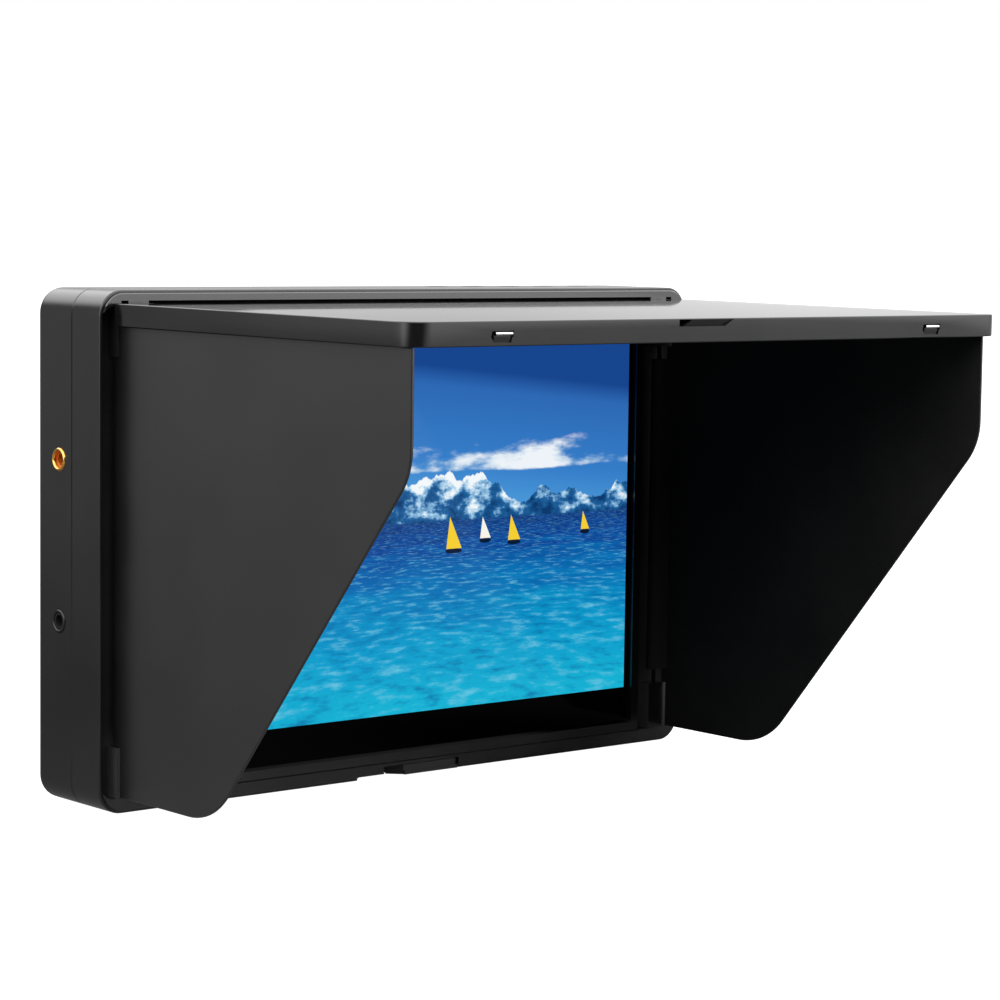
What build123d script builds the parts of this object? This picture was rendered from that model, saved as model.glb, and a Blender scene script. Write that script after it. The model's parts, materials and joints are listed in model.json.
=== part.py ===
from build123d import *
import math
import os

os.makedirs("parts", exist_ok=True)

# A camera field monitor with a folding sun hood.
# Millimetres. X to the viewer's right, Y away from the viewer, Z up.
# The origin is the mouth of the tripod thread, in the middle of the bottom face.

# ---------------------------------------------------------------- driving sizes

# Housing
body_width = 230.0
body_height = 152.3
body_depth = 35.0
body_corner = 7.5
front_edge_round = 0.5
front_set_back = 0.7  # shell's front edge behind the hood frame's face
rear_edge_round = 2.5
cavity_edge_round = 4.0
parting_depth = 15.7  # where the two shells meet, behind the front plane
parting_chamfer = 0.3
shell_wall = 2.2
shell_rim = 0.8  # thin rim of the front shell round the hood frame
seam = 0.1  # gap between pieces that sit in each other
tongue_length = 2.0
tongue_thickness = 1.0
overrun = 1.0  # how far a cut starts outside what it cuts

# Window, glass and panel
window_side_margin = 21.8  # from the housing's side to the window
window_top_margin = 7.65
window_bottom = 7.55
window_corner = 1.0
lip_depth = 2.1  # thickness of the hood frame in front of the glass
glass_overlap = 0.8  # how far the glass goes in behind the frame, each side
glass_thickness = 1.8
boss_wall = 1.0  # wall of the front shell round the glass
panel_lift = 8.0  # the panel's lower edge above the glass's lower edge
panel_top_margin = 5.7  # the panel's upper edge below the glass's upper edge
panel_thickness = 1.4
backlight_thickness = 3.5
gasket_width = 2.0
gasket_thickness = 0.5
bracket_overlap = 3.0
bracket_sheet = 0.8
bracket_rib = 2.0
bracket_rib_margin = 20.0

# Hood frame and its flap channels
frame_depth = 7.2
frame_inner_wall = 1.0
frame_chamfer = 0.3
channel_depth = 5.6
channel_bottom = 4.6
channel_top_margin = 4.7  # from the housing's top
channel_corner = 5.0
groove_height = 4.4  # line across the bottom rail
groove_width = 0.4
slot_below = 1.13  # slot between the top rail and the lid, from the lid's top face
slot_above = 0.77
slot_depth = 3.5
slot_side_margin = 6.8
notch_left = -21.0  # notch in the bottom rail for the catch
notch_right = 19.0
notch_height = 3.5
notch_step = 1.2
notch_depth = 5.4
catch_width = 21.2
catch_slant = 4.1  # how far the slanted left end runs outward
catch_foot = 0.1
catch_sink = 1.0
catch_rail = 0.8
catch_rail_height = 2.0
catch_rail_reach = 0.9
catch_travel = 4.0
catch_thumb_rib = 0.8
catch_thumb_rib_height = 1.1
catch_gap = 0.35

# Flap hinges
flap_inset = 5.9  # from the housing's side to the flap's outer face
flap_axis_inset = 4.4  # from the flap's outer face to its axis
flap_axis_depth = {"left": 2.65, "right": 1.5}  # the right flap folds over the left one
flap_side = {"left": -1, "right": 1}
flap_barrel_radius = 2.6
flap_pin_radius = 0.7
running_gap = 0.05
pin_show_bottom = 5.0  # bare pin between lug and barrel
pin_show_top = 4.5
lug_inner = 3.2  # inward of the flap's axis; the outer side is flush with the flap
lug_front = 0.3  # behind the front plane
lug_gap = 0.35  # round the lug, cut out of the flap
lug_bottom_height = 14.9
lug_top_height = 14.3
flap_pin_grip = 10.0  # length of pin inside the barrel
flap_pin_seat = 7.5  # length of pin inside the lug

# Flaps, in the plane of the flap: reach forward of the front plane, and height
flap_thickness = 1.0
flap_root = 1.0  # flap's rear edge at the lugs, in front of the front plane
flap_edge_chamfer = 0.25
flap_front_inset = 1.8  # behind the lid's front face
flap_floor_gap = 0.5
flap_slant_start = 47.9  # reach where the slanted edge would meet the bottom edge
flap_front_height = 32.1  # from the front corner to where the slanted edge would meet the front
flap_slant_low_round = 25.0
flap_slant_high_round = 19.0
flap_tuck = 0.1  # how far the upper edge goes up inside the lid's lip
flap_nose_inset = 5.8  # where the upper edge starts to slope down, behind the lid's front
flap_nose_gap = 0.83  # front corner, below the lid's lip as moulded

# Lid
lid_drop = 3.87  # from the housing's top to the lid's top face
lid_inset = {"left": 3.9, "right": 1.1}  # from the housing's side
lid_rear = -1.0  # gap to the front plane
lid_reach = 137.0
lid_thickness = 1.8
lid_lip = 6.6
lid_lip_thickness = 1.4
lid_corner = {"left": 7.0, "right": 5.3}
lid_heel_round = 2.2  # lower rear corners of the side lips
lid_edge_round = 0.4
lid_lip_chamfer = 0.25
lid_droop = 0.31  # degrees
lid_axis_depth = -2.3
lid_barrel_radius = 1.9
lid_pin_radius = 0.8
knuckle_length = 6.9
knuckle_set_out = 1.1  # outer end, outward of the flap's axis
lid_ear_width = 4.6
knuckle_gap = 0.3
lip_slot_spacing = 164.4  # between the middles of the two slots
lip_slot_length = 7.7
lip_slot_top = 2.65  # below the lid's top face
lip_slot_height = 3.0
lip_slot_slant = 0.9
lip_groove_height = 1.6  # round the pin
lip_groove_depth = 0.65
lip_hole_length = 1.9
lip_hole_depth = 3.2
lip_pin_radius = 0.6
lip_pin_drop = 3.35  # below the lid's top face
lip_pin_sink = 0.7  # axis behind the lid's front face
lip_pin_grip = 1.0
lip_block_wall = 1.0  # material round the holes, behind the lip
lip_block_depth = 4.2
catch_pocket_left = -18.05
catch_pocket_length = 20.6
catch_pocket_top = 0.3  # below the lid's top face
catch_pocket_height = 1.9
catch_pocket_slant = 3.3
catch_hole_length = 5.0
hollow_top = 0.2  # depth of the hollows in the front lip at their upper edge
hollow_low = {"slot": 0.45, "pocket": 0.8}  # and at their lower edge

# Sockets in the sides
socket_depth = 22.6
av_jack_height = 102.3
audio_jack_height = 54.7
jack_radius = 3.5
jack_ring_bore = 2.4
jack_ring_length = 2.0
jack_bore = 1.8
jack_bore_length = 12.0
jack_body_length = 14.0
jack_body_size = 7.0
jack_face_recess = 0.8
video_heights = {"in": 96.0, "out": 70.0}
video_width = 14.0
video_opening = 4.6
video_chamfer = 1.2
video_wall = 0.5
video_length = 12.0
video_reach = 9.5
power_height = 44.0
power_radius = 3.7
power_bore = 2.8
power_bore_length = 9.0
power_pin_radius = 0.6
power_pin_recess = 2.0
power_body_length = 13.0

# Boards
board_depth = 17.2
board_thickness = 1.6
board_side_margin = 17.0  # from the housing's side
board_bottom = 26.0
board_top_margin = 24.3
board_corner = 1.0
board_screw_inset = 5.0
board_tab_gap = 8.8  # from the tabs to the housing's wall
board_tab_root = 1.0
board_tab_below = 6.0  # below the power socket's axis
board_tab_above = 7.7  # above the upper jack's axis
board_screw_radius = 1.25
board_screw_head = 2.3
board_screw_head_height = 1.2
board_screw_tip_gap = 1.0
board_post_radius = 2.8
chip_height = 2.2
# x, z from the board's middle, side length
chips = [(-40.0, -17.0, 18.0), (-12.0, 15.0, 12.0), (52.0, -19.0, 14.0), (62.0, 15.0, 10.0)]
ribbon_width = 30.0
ribbon_thickness = 0.3
ribbon_hang = 8.0  # below the board's lower edge
ribbon_rise = 6.0  # length on the panel's side
ribbon_grip = 4.0  # length on the board

# Buttons on top
button_names = ["power", "menu", "minus", "plus", "source"]
button_pitch = 15.0
button_depth = 22.6
button_side_margin = 29.0  # from the housing's side to the last button
button_length = 8.0
button_width = 4.4
button_travel = 0.6
button_gap = 0.15
button_flange = 0.8
button_flange_thickness = 0.9
button_stem_radius = 1.2
button_edge_round = 0.3
button_sink = 0.1
switch_size = 4.5
switch_height = 1.6
switch_board_drop = 10.3  # from the housing's top
switch_board_thickness = 1.2
switch_board_width = 10.0
switch_board_margin = 8.0

# Back: speaker, vents, threads, battery plate, screws
speaker_side_margin = 37.0  # from the housing's left side
speaker_z = 34.0
speaker_radius = 12.0
speaker_thickness = 5.0
speaker_magnet_radius = 7.2
speaker_magnet_height = 2.0
speaker_rings = 3  # rings of holes, the middle hole included
speaker_ring_holes = 6
speaker_hole = 0.8
speaker_hole_pitch = 3.2
vent_side_margin = 37.0
vent_top_margin = 40.3  # from the housing's top to the middle of the vents
vent_slots = 9
vent_pitch = 4.0
vent_length = 26.0
vent_height = 1.6
plate_thread_radius = 2.0
plate_thread_spacing = 75.0
plate_insert_radius = 3.0
plate_insert_length = 6.0
insert_boss_wall = 1.2
insert_boss_extra = 2.0
tripod_from_back = 10.6
tripod_thread_radius = 3.175
tripod_insert_radius = 4.6
tripod_insert_flange = 5.6
tripod_boss_wall = 2.2
tripod_insert_length = 8.0
tripod_flange_thickness = 1.0
bay_width = 44.0
bay_height = 78.0
bay_corner = 3.0
bay_depth = 6.4
bay_edge = 0.2
plate_base = 2.2
hook_length = 9.0
hook_width = 3.0
hook_height = 3.6
hook_lip = 1.4
hook_lip_thickness = 1.2
hook_x = 16.0
hook_drops = [-18.0, 14.0]
contact_width = 1.6
contact_length = 8.0
contact_height = 2.4
contact_pitch = 8.0
contact_drop = -27.0
latch_width = 12.0
latch_length = 9.0
latch_travel = 3.0
latch_height = 3.4
latch_gap = 0.35
latch_top_margin = 1.8  # from the plate's upper edge to the spring seat
latch_flange = 1.0
latch_lip = 0.8
latch_lip_reach = 1.2
latch_rib = 0.5
latch_ribs = 3
guide_wall = 1.5
spring_solid_length = 2.5  # spring pressed right together
spring_radius = 1.0
spring_wire = 0.2  # radius
spring_turns = 5
screw_side_margin = 14.0  # from the housing's side
screw_inset = 12.2
screw_shank = 1.5
screw_head = 2.8
screw_head_height = 2.0
screw_socket = 1.25
screw_bite = 5.5
screw_boss = 3.6
screw_sink = 1.0
screw_clearance = 0.2

# ------------------------------------------------------------- worked out places

tripod_set_back = body_depth - tripod_from_back
front = -tripod_set_back  # Y of the front plane
mid = body_height / 2
side_x = body_width / 2
window_width = body_width - 2 * window_side_margin
window_height = body_height - window_bottom - window_top_margin
window_mid = window_bottom + window_height / 2
frame_width = body_width - 2 * (shell_rim + seam)
frame_height = body_height - 2 * (shell_rim + seam)
frame_corner = body_corner - shell_rim - seam
glass_width = window_width + 2 * glass_overlap
glass_height = window_height + 2 * glass_overlap
boss_width = glass_width + 2 * (seam + boss_wall)
boss_height = glass_height + 2 * (seam + boss_wall)
socket_width = boss_width + 2 * seam
socket_height = boss_height + 2 * seam
channel_inner = socket_width / 2 + frame_inner_wall
channel_outer = frame_width / 2 + overrun
inner_width = body_width - 2 * shell_wall
inner_height = body_height - 2 * shell_wall
inner_corner = body_corner - shell_wall
front_plate_depth = frame_depth + shell_wall
rear_wall_depth = body_depth - shell_wall
glass_depth = lip_depth
panel_depth = glass_depth + glass_thickness
panel_height = glass_height - panel_lift - panel_top_margin
panel_bottom = window_bottom - glass_overlap + panel_lift
panel_mid = panel_bottom + panel_height / 2
panel_width = glass_width - 2 * seam
backlight_depth = panel_depth + panel_thickness
bracket_depth = front_plate_depth
screw_x = side_x - screw_side_margin
board_width = body_width - 2 * board_side_margin
board_top = body_height - board_top_margin
vent_z = body_height - vent_top_margin
vent_x = side_x - vent_side_margin
speaker_x = speaker_side_margin - side_x
button_first_x = side_x - button_side_margin - (len(button_names) - 1) * button_pitch
lid_top = body_height - lid_drop
lid_left = lid_inset["left"] - side_x
lid_right = side_x - lid_inset["right"]
lid_width = lid_right - lid_left
lid_centre = (lid_left + lid_right) / 2
lid_axis_z = lid_top - lid_barrel_radius
slot_bottom = lid_top - slot_below
slot_top = lid_top + slot_above
slot_half_length = side_x - slot_side_margin
channel_top = body_height - channel_top_margin
lug_bottom_top = channel_bottom + lug_bottom_height
lug_top_bottom = slot_bottom - lug_top_height
barrel_bottom = lug_bottom_top + pin_show_bottom
barrel_top = lug_top_bottom - pin_show_top
flap_axis_x = side_x - flap_inset - flap_axis_inset
knuckle_outer = flap_axis_x + knuckle_set_out
knuckle_inner = knuckle_outer - knuckle_length


def facing(depth):
    """Plane parallel to the screen at a depth behind the front plane: X right, Z up."""
    return Plane.XZ.offset(-(front + depth))


def slab(start, end, width, height, corner, x=0.0, z=mid, mode=Mode.ADD):
    """Rounded rectangle parallel to the screen, between two depths."""
    with BuildSketch(facing(start)) as outline:
        with Locations((x, z)):
            if corner > 0:
                RectangleRounded(width, height, corner)
            else:
                Rectangle(width, height)
    extrude(outline.sketch, amount=start - end, mode=mode)


def rod(start, end, radius, x, z, mode=Mode.ADD):
    """Round bar square to the screen, between two depths."""
    with BuildSketch(facing(start)) as outline:
        with Locations((x, z)):
            Circle(radius)
    extrude(outline.sketch, amount=start - end, mode=mode)


def side_rod(start, end, radius, depth, z, mode=Mode.ADD):
    """Round bar along X, between two X places."""
    with BuildSketch(Plane.YZ.offset(start)) as outline:
        with Locations((front + depth, z)):
            Circle(radius)
    extrude(outline.sketch, amount=end - start, mode=mode)


def block(low, high, mode=Mode.ADD):
    """Square-cornered block between two corners; Y is given as a depth."""
    size = [b - a for a, b in zip(low, high)]
    centre = [(a + b) / 2 for a, b in zip(low, high)]
    with Locations((centre[0], front + centre[1], centre[2])):
        Box(*size, mode=mode)


def upright(low, high, radius, x, depth, mode=Mode.ADD):
    """Round bar along Z."""
    with BuildSketch(Plane.XY.offset(low)) as outline:
        with Locations((x, front + depth)):
            Circle(radius)
    extrude(outline.sketch, amount=high - low, mode=mode)


def save(part, name):
    part.label = name
    export_step(part, "parts/" + name + ".step")


# ------------------------------------------------------------------ front shell

screw_places = [(sx * screw_x, mid + sz * (mid - screw_inset)) for sx in (-1, 1) for sz in (-1, 1)]
board_places = [
    (sx * (board_width / 2 - board_screw_inset), z)
    for sx in (-1, 1)
    for z in (board_bottom + board_screw_inset, board_top - board_screw_inset)
]

with BuildPart() as front_shell:
    slab(front_set_back, parting_depth, body_width, body_height, body_corner)
    fillet(front_shell.faces().sort_by(Axis.Y)[0].edges(), front_edge_round)
    chamfer(front_shell.faces().sort_by(Axis.Y)[-1].edges(), parting_chamfer)
    slab(0, frame_depth, frame_width + 2 * seam, frame_height + 2 * seam, frame_corner + seam,
         mode=Mode.SUBTRACT)
    slab(front_plate_depth, parting_depth, inner_width, inner_height, inner_corner,
         mode=Mode.SUBTRACT)
    slab(lip_depth, frame_depth, boss_width, boss_height, window_corner, z=window_mid)
    slab(lip_depth, front_plate_depth, glass_width + 2 * seam, glass_height + 2 * seam, 0,
         z=window_mid, mode=Mode.SUBTRACT)
    for x, z in screw_places:
        rod(front_plate_depth, parting_depth, screw_boss, x, z)
        rod(parting_depth - screw_bite, parting_depth, screw_shank, x, z, mode=Mode.SUBTRACT)
    for x, z in board_places:
        rod(front_plate_depth, board_depth, board_post_radius, x, z)
        rod(board_depth - screw_bite, board_depth, board_screw_radius, x, z, mode=Mode.SUBTRACT)
    # notch under the catch
    block((notch_left, -overrun, -overrun), (notch_right, frame_depth, notch_step),
          mode=Mode.SUBTRACT)
save(front_shell.part, "front_shell")

# ------------------------------------------------------------------- rear shell

with BuildPart() as rear_cavity:
    slab(parting_depth, rear_wall_depth, inner_width, inner_height, inner_corner)
    fillet(rear_cavity.faces().sort_by(Axis.Y)[-1].edges(), cavity_edge_round)

plate_insert_places = [
    (sx * plate_thread_spacing / 2, mid + sz * plate_thread_spacing / 2)
    for sx in (-1, 1)
    for sz in (-1, 1)
]
button_places = [
    (button_first_x + i * button_pitch, name) for i, name in enumerate(button_names)
]
bay_floor = body_depth - bay_depth

with BuildPart() as rear_shell:
    slab(parting_depth, body_depth, body_width, body_height, body_corner)
    fillet(rear_shell.faces().sort_by(Axis.Y)[-1].edges(), rear_edge_round)
    chamfer(rear_shell.faces().sort_by(Axis.Y)[0].edges(), parting_chamfer)
    add(rear_cavity.part, mode=Mode.SUBTRACT)
    # tongue that goes in behind the front shell's edge
    slab(parting_depth - tongue_length, parting_depth, inner_width - 2 * seam,
         inner_height - 2 * seam, inner_corner - seam)
    slab(parting_depth, parting_depth + tongue_length, inner_width, inner_height, inner_corner)
    slab(parting_depth - tongue_length, parting_depth + tongue_length,
         inner_width - 2 * (seam + tongue_thickness), inner_height - 2 * (seam + tongue_thickness),
         inner_corner - seam - tongue_thickness, mode=Mode.SUBTRACT)
    # battery bay, sunk into the back
    slab(bay_floor - shell_wall, rear_wall_depth, bay_width + 2 * shell_wall,
         bay_height + 2 * shell_wall, bay_corner + shell_wall)
    slab(bay_floor, body_depth, bay_width, bay_height, bay_corner, mode=Mode.SUBTRACT)
    # columns for the case screws
    for x, z in screw_places:
        rod(parting_depth, rear_wall_depth, screw_boss, x, z)
        rod(parting_depth, body_depth, screw_shank + screw_clearance, x, z, mode=Mode.SUBTRACT)
        rod(body_depth - screw_sink - screw_head_height, body_depth,
            screw_head + screw_clearance, x, z, mode=Mode.SUBTRACT)
    # bosses for the threaded inserts of an arm plate
    for x, z in plate_insert_places:
        rod(body_depth - plate_insert_length - insert_boss_extra, rear_wall_depth,
            plate_insert_radius + insert_boss_wall, x, z)
        rod(body_depth - plate_insert_length, body_depth, plate_insert_radius, x, z,
            mode=Mode.SUBTRACT)
    # boss for the tripod insert
    upright(0, tripod_insert_length + insert_boss_extra,
            tripod_insert_radius + tripod_boss_wall, 0, tripod_set_back)
    upright(0, tripod_insert_length, tripod_insert_radius, 0, tripod_set_back,
            mode=Mode.SUBTRACT)
    upright(0, tripod_flange_thickness, tripod_insert_flange, 0, tripod_set_back,
            mode=Mode.SUBTRACT)
    # holes for the side sockets
    for z in (av_jack_height, audio_jack_height):
        side_rod(-side_x, -side_x + shell_wall, jack_radius + seam, socket_depth, z,
                 mode=Mode.SUBTRACT)
    for z in video_heights.values():
        block((side_x - shell_wall, socket_depth - video_opening / 2 - video_wall - seam,
               z - video_width / 2 - video_wall - seam),
              (side_x, socket_depth + video_opening / 2 + video_wall + seam,
               z + video_width / 2 + video_wall + seam), mode=Mode.SUBTRACT)
    side_rod(side_x - shell_wall, side_x, power_radius + seam, socket_depth, power_height,
             mode=Mode.SUBTRACT)
    # button holes in the top
    for x, name in button_places:
        with BuildSketch(Plane.XY.offset(body_height - shell_wall)) as outline:
            with Locations((x, front + button_depth)):
                SlotOverall(button_length + 2 * button_gap, button_width + 2 * button_gap)
        extrude(outline.sketch, amount=shell_wall, mode=Mode.SUBTRACT)
    # speaker grille
    for ring in range(speaker_rings):
        with BuildSketch(facing(rear_wall_depth)) as outline:
            with Locations((speaker_x, speaker_z)):
                if ring == 0:
                    Circle(speaker_hole)
                else:
                    with PolarLocations(ring * speaker_hole_pitch, speaker_ring_holes * ring):
                        Circle(speaker_hole)
        extrude(outline.sketch, amount=-shell_wall, mode=Mode.SUBTRACT)
    # vents
    for sx in (-1, 1):
        with BuildSketch(facing(rear_wall_depth)) as outline:
            with Locations((sx * vent_x, vent_z)):
                with GridLocations(1, vent_pitch, 1, vent_slots):
                    SlotOverall(vent_length, vent_height)
        extrude(outline.sketch, amount=-shell_wall, mode=Mode.SUBTRACT)
save(rear_shell.part, "rear_shell")

# ----------------------------------------------------------- glass, panel, light

with BuildPart() as cover_glass:
    slab(glass_depth, panel_depth, glass_width, glass_height, 0, z=window_mid)
save(cover_glass.part, "cover_glass")

with BuildPart() as lcd_panel:
    slab(panel_depth, backlight_depth, panel_width, panel_height, 0, z=panel_mid)
save(lcd_panel.part, "lcd_panel")

with BuildPart() as backlight:
    slab(backlight_depth, backlight_depth + backlight_thickness, panel_width, panel_height, 0,
         z=panel_mid)
save(backlight.part, "backlight")

gasket_depth = bracket_depth - gasket_thickness
with BuildPart() as panel_gasket:
    slab(gasket_depth, bracket_depth, panel_width, panel_height, 0, z=panel_mid)
    slab(gasket_depth, bracket_depth, panel_width - 2 * gasket_width,
         panel_height - 2 * gasket_width, 0, z=panel_mid, mode=Mode.SUBTRACT)
save(panel_gasket.part, "panel_gasket")

with BuildPart() as panel_bracket:
    slab(bracket_depth, bracket_depth + bracket_sheet, glass_width + 2 * bracket_overlap,
         glass_height, 0, z=window_mid)
    for x, z in board_places:
        rod(bracket_depth, bracket_depth + bracket_sheet, board_post_radius + seam, x, z,
            mode=Mode.SUBTRACT)
    # two pressed stiffening ribs
    for sz in (-1, 1):
        slab(bracket_depth + bracket_sheet, bracket_depth + bracket_sheet + bracket_rib,
             glass_width - 2 * bracket_rib_margin, bracket_rib, 0,
             z=window_mid + sz * panel_height / 4)
save(panel_bracket.part, "panel_bracket")

# ----------------------------------------------------------------------- boards

board_mid = (board_bottom + board_top) / 2
board_height = board_top - board_bottom
board_back = board_depth + board_thickness

with BuildPart() as main_board:
    slab(board_depth, board_back, board_width, board_height, board_corner, z=board_mid)
    for x, z in board_places:
        rod(board_depth, board_back, board_screw_radius + screw_clearance, x, z,
            mode=Mode.SUBTRACT)
    # two tabs that carry the side sockets
    for sx in (-1, 1):
        inner, outer = sorted((sx * (board_width / 2 - board_tab_root),
                               sx * (side_x - shell_wall - board_tab_gap)))
        block((inner, board_depth, power_height - board_tab_below),
              (outer, board_back, av_jack_height + board_tab_above))
save(main_board.part, "main_board")

with BuildPart() as main_chips:
    for x, z, size in chips:
        slab(board_back, board_back + chip_height, size, size, 0, x=x, z=board_mid + z)
save(main_chips.part, "main_chips")

with BuildPart() as board_screws:
    for x, z in board_places:
        rod(board_depth - screw_bite + board_screw_tip_gap, board_back, board_screw_radius, x, z)
        rod(board_back, board_back + board_screw_head_height, board_screw_head, x, z)
save(board_screws.part, "board_screws")

ribbon_start = bracket_depth + bracket_sheet + seam
ribbon_bottom = board_bottom - ribbon_hang
with BuildPart() as panel_ribbon:
    block((-ribbon_width / 2, ribbon_start, ribbon_bottom),
          (ribbon_width / 2, ribbon_start + ribbon_thickness, ribbon_bottom + ribbon_rise))
    block((-ribbon_width / 2, ribbon_start, ribbon_bottom),
          (ribbon_width / 2, board_depth, ribbon_bottom + ribbon_thickness))
    block((-ribbon_width / 2, board_depth - ribbon_thickness, ribbon_bottom),
          (ribbon_width / 2, board_depth, board_bottom + ribbon_grip))
save(panel_ribbon.part, "panel_ribbon")

# --------------------------------------------------------------- side sockets

with BuildPart() as av_jack_ring:
    side_rod(-side_x, -side_x + jack_ring_length, jack_radius, socket_depth, av_jack_height)
    side_rod(-side_x, -side_x + jack_ring_length, jack_ring_bore, socket_depth,
             av_jack_height, mode=Mode.SUBTRACT)
save(av_jack_ring.part, "av_jack_ring")


def jack_body(nose_radius, nose_start, z):
    """Moulded jack: a round nose in the shell's hole and a square body behind it."""
    body_start = -side_x + shell_wall + seam
    half = jack_body_size / 2
    side_rod(nose_start, body_start, nose_radius, socket_depth, z)
    block((body_start, socket_depth - half, z - half),
          (-side_x + jack_body_length, socket_depth + half, z + half))
    side_rod(nose_start, nose_start + jack_bore_length, jack_bore, socket_depth, z,
             mode=Mode.SUBTRACT)


with BuildPart() as av_jack:
    jack_body(jack_ring_bore, -side_x + jack_face_recess, av_jack_height)
save(av_jack.part, "av_jack")

with BuildPart() as headphone_jack:
    jack_body(jack_radius, -side_x, audio_jack_height)
save(headphone_jack.part, "headphone_jack")

for name, z in video_heights.items():
    with BuildPart() as video_socket:
        half_z = video_width / 2
        half_y = video_opening / 2
        block((side_x - video_length, socket_depth - half_y - video_wall, z - half_z - video_wall),
              (side_x - seam, socket_depth + half_y + video_wall, z + half_z + video_wall))
        with BuildSketch(Plane.YZ.offset(side_x - seam - video_reach)) as outline:
            with Locations((front + socket_depth, z)):
                Rectangle(video_opening, video_width)
            chamfer(outline.vertices().group_by(Axis.X)[-1], video_chamfer)
        extrude(outline.sketch, amount=video_reach, mode=Mode.SUBTRACT)
    save(video_socket.part, "video_" + name + "_socket")

with BuildPart() as power_socket:
    side_rod(side_x - power_body_length, side_x, power_radius, socket_depth, power_height)
    side_rod(side_x - power_bore_length, side_x, power_bore, socket_depth, power_height,
             mode=Mode.SUBTRACT)
    side_rod(side_x - power_bore_length, side_x - power_pin_recess, power_pin_radius,
             socket_depth, power_height)
save(power_socket.part, "power_socket")

# ---------------------------------------------------------------------- buttons

switch_board_level = body_height - switch_board_drop
switch_top = switch_board_level + switch_board_thickness + switch_height
flange_top = body_height - shell_wall
for x, name in button_places:
    with BuildPart() as button:
        with BuildSketch(Plane.XY.offset(flange_top)) as outline:
            with Locations((x, front + button_depth)):
                SlotOverall(button_length, button_width)
        extrude(outline.sketch, amount=shell_wall - button_sink)
        fillet(button.faces().sort_by(Axis.Z)[-1].edges(), button_edge_round)
        with BuildSketch(Plane.XY.offset(flange_top - button_flange_thickness)) as outline:
            with Locations((x, front + button_depth)):
                SlotOverall(button_length + 2 * button_flange, button_width + 2 * button_flange)
        extrude(outline.sketch, amount=button_flange_thickness)
        upright(switch_top + button_travel + seam, flange_top, button_stem_radius, x,
                button_depth)
    save(button.part, name + "_button")

switch_board_width_x = (len(button_names) - 1) * button_pitch + 2 * switch_board_margin
switch_board_x = button_first_x + (len(button_names) - 1) * button_pitch / 2
with BuildPart() as button_board:
    block((switch_board_x - switch_board_width_x / 2, button_depth - switch_board_width / 2,
           switch_board_level),
          (switch_board_x + switch_board_width_x / 2, button_depth + switch_board_width / 2,
           switch_board_level + switch_board_thickness))
save(button_board.part, "button_board")

with BuildPart() as button_switches:
    for x, name in button_places:
        block((x - switch_size / 2, button_depth - switch_size / 2,
               switch_board_level + switch_board_thickness),
              (x + switch_size / 2, button_depth + switch_size / 2, switch_top))
save(button_switches.part, "button_switches")

# ------------------------------------------------------- speaker and thread inserts

with BuildPart() as speaker:
    rod(rear_wall_depth - speaker_thickness, rear_wall_depth - seam, speaker_radius,
        speaker_x, speaker_z)
    rod(rear_wall_depth - speaker_thickness - speaker_magnet_height,
        rear_wall_depth - speaker_thickness, speaker_magnet_radius, speaker_x, speaker_z)
save(speaker.part, "speaker")

with BuildPart() as tripod_insert:
    upright(0, tripod_insert_length, tripod_insert_radius, 0, tripod_set_back)
    upright(0, tripod_flange_thickness, tripod_insert_flange, 0, tripod_set_back)
    upright(0, tripod_insert_length, tripod_thread_radius, 0, tripod_set_back,
            mode=Mode.SUBTRACT)
save(tripod_insert.part, "tripod_insert")

with BuildPart() as plate_inserts:
    for x, z in plate_insert_places:
        rod(body_depth - plate_insert_length, body_depth, plate_insert_radius, x, z)
        rod(body_depth - plate_insert_length, body_depth, plate_thread_radius, x, z,
            mode=Mode.SUBTRACT)
save(plate_inserts.part, "plate_inserts")

with BuildPart() as case_screws:
    for x, z in screw_places:
        head_back = body_depth - screw_sink
        rod(parting_depth - screw_bite, head_back - screw_head_height, screw_shank, x, z)
        rod(head_back - screw_head_height, head_back, screw_head, x, z)
        with BuildSketch(facing(head_back - screw_head_height / 2)) as outline:
            with Locations((x, z)):
                RegularPolygon(screw_socket, 6)
        extrude(outline.sketch, amount=-screw_head_height / 2, mode=Mode.SUBTRACT)
save(case_screws.part, "case_screws")

# ---------------------------------------------------------------- battery plate

plate_back = bay_floor + plate_base
plate_width = bay_width - 2 * bay_edge
plate_height = bay_height - 2 * bay_edge
spring_length = latch_travel + spring_solid_length
spring_seat_z = mid + plate_height / 2 - latch_top_margin - guide_wall
latch_z = spring_seat_z - spring_length - latch_length
latch_flange_back = plate_back + latch_gap + latch_flange
latch_lip_front = latch_flange_back + latch_gap
latch_guide = latch_width / 2 + latch_gap
spring_axis_depth = plate_back + latch_gap + spring_radius + spring_wire

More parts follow.
